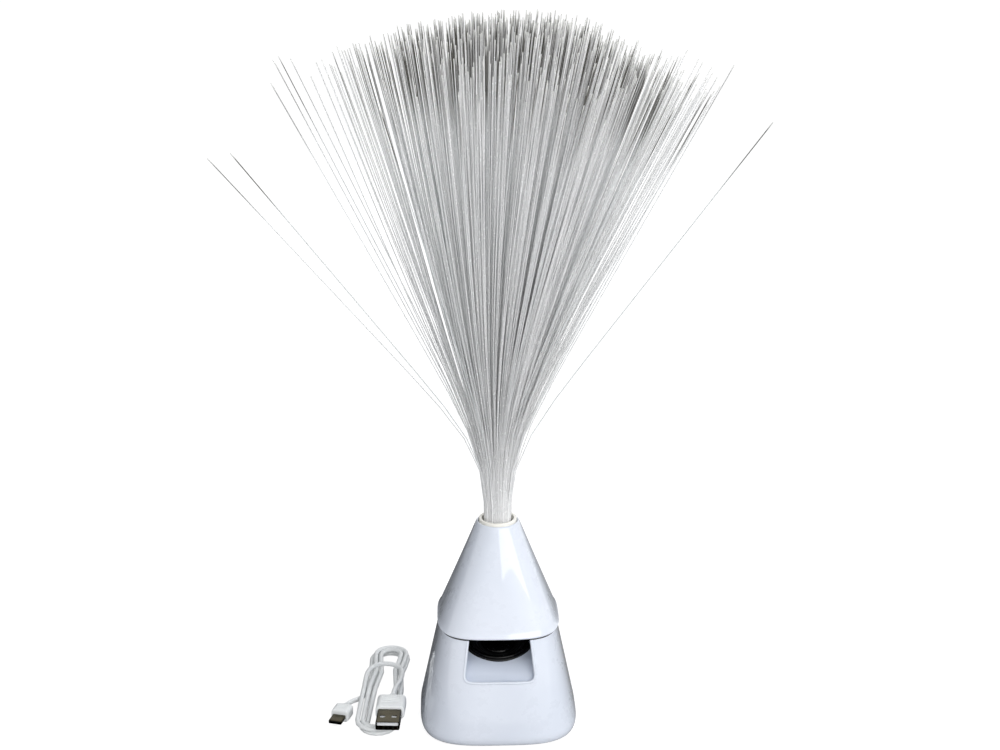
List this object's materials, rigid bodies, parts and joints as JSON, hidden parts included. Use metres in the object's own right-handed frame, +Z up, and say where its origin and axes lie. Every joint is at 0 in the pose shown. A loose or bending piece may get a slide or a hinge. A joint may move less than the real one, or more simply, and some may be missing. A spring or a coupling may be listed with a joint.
{
  "type": "fibre optic lamp",
  "caption": "Rechargeable table lamp with a fan of clear fibres over a round-cornered white base, a tilted speaker in a front notch, and a folded charging lead beside it.",
  "frame": {"origin": "centre of the rubber pad's underside, where the lamp stands", "axes": "+Z up along the lamp's axis, -Y towards the notch with the speaker, +X to its right seen from the front"},
  "size_m": [0.2382, 0.2308, 0.3534],
  "materials": {
    "housing": "glossy cool white plastic",
    "ivory": "satin ivory plastic",
    "black_plastic": "satin black plastic",
    "speaker_rubber": "smooth black rubber",
    "speaker_gloss": "glossy black film",
    "copper": "wound copper wire",
    "magnet": "dull dark grey",
    "screws": "plain zinc",
    "boards": "green solder mask",
    "clear_plastic": "clear moulded lens",
    "sleeve": "heat shrink tube",
    "fibres": "clear drawn fibre, grey in daylight",
    "battery_wrap": "blue film wrap",
    "plug_metal": "plated sheet, mirrored dark surroundings",
    "red_wire": "wire insulation",
    "black_wire": "wire insulation",
    "pad_rubber": "fine ribbed rubber",
    "cord": "soft white insulation",
    "plug_tongue": "white moulded plastic"
  },
  "bodies": {
    "lamp": {"lower_body": "housing", "upper_cover": "housing", "collar_ring": "ivory", "cover_floor": "black_plastic", "cover_screw_1": "screws", "cover_screw_2": "screws", "cover_screw_3": "screws", "cover_screw_4": "screws", "body_screw_1": "screws", "body_screw_2": "screws", "speaker_deck": "housing", "speaker_frame": "black_plastic", "speaker_surround": "speaker_rubber", "speaker_magnet": "magnet", "speaker_yoke": "screws", "light_board": "boards", "light_holder": "black_plastic", "led": "clear_plastic", "light_screw_1": "screws", "light_screw_2": "screws", "main_board": "boards", "board_screw_1": "screws", "board_screw_2": "screws", "board_screw_3": "screws", "board_screw_4": "screws", "battery": "battery_wrap", "usb_socket": "plug_metal", "switch_body": "plug_metal", "tact_switch": "black_plastic", "status_light": "clear_plastic", "battery_lead": "red_wire", "speaker_lead": "black_wire", "light_lead": "black_wire", "bottom_cover": "black_plastic", "base_screw_1": "screws", "base_screw_2": "screws", "base_screw_3": "screws", "base_screw_4": "screws", "rubber_pad": "pad_rubber", "cable_hank": "cord", "cable_to_usb_plug": "cord", "cable_to_micro_plug": "cord", "usb_plug_body": "cord", "usb_plug_shell": "plug_metal", "usb_plug_tongue": "plug_tongue", "micro_plug_body": "cord", "micro_plug_shell": "plug_metal", "micro_plug_tongue": "black_plastic"},
    "fibre_bundle": {"fibre_sleeve": "sleeve", "fibres_back_right": "fibres", "fibres_back_left": "fibres", "fibres_front_left": "fibres", "fibres_front_right": "fibres"},
    "speaker_diaphragm": {"speaker_cone": "speaker_gloss", "speaker_dust_cap": "speaker_gloss", "speaker_coil": "copper"},
    "power_switch": {"power_switch_knob": "black_plastic"},
    "mode_key": {"mode_button": "housing"}
  },
  "joints": [
    {"name": "fibre_bundle_lift", "type": "slide", "parent": "lamp", "child": "fibre_bundle", "axis": [0, 0, 1], "range_m": [0, 0.025]},
    {"name": "speaker_stroke", "type": "slide", "parent": "lamp", "child": "speaker_diaphragm", "axis": [0, -0.2588, 0.9659], "range_m": [-0.0006, 0.0006], "stiffness_N_per_m": 2000},
    {"name": "power_switch_slide", "type": "slide", "parent": "lamp", "child": "power_switch", "axis": [1, 0, 0], "range_m": [0, 0.0025]},
    {"name": "mode_button_press", "type": "slide", "parent": "lamp", "child": "mode_key", "axis": [0, -1, 0], "range_m": [0, 0.0008], "stiffness_N_per_m": 500}
  ]
}
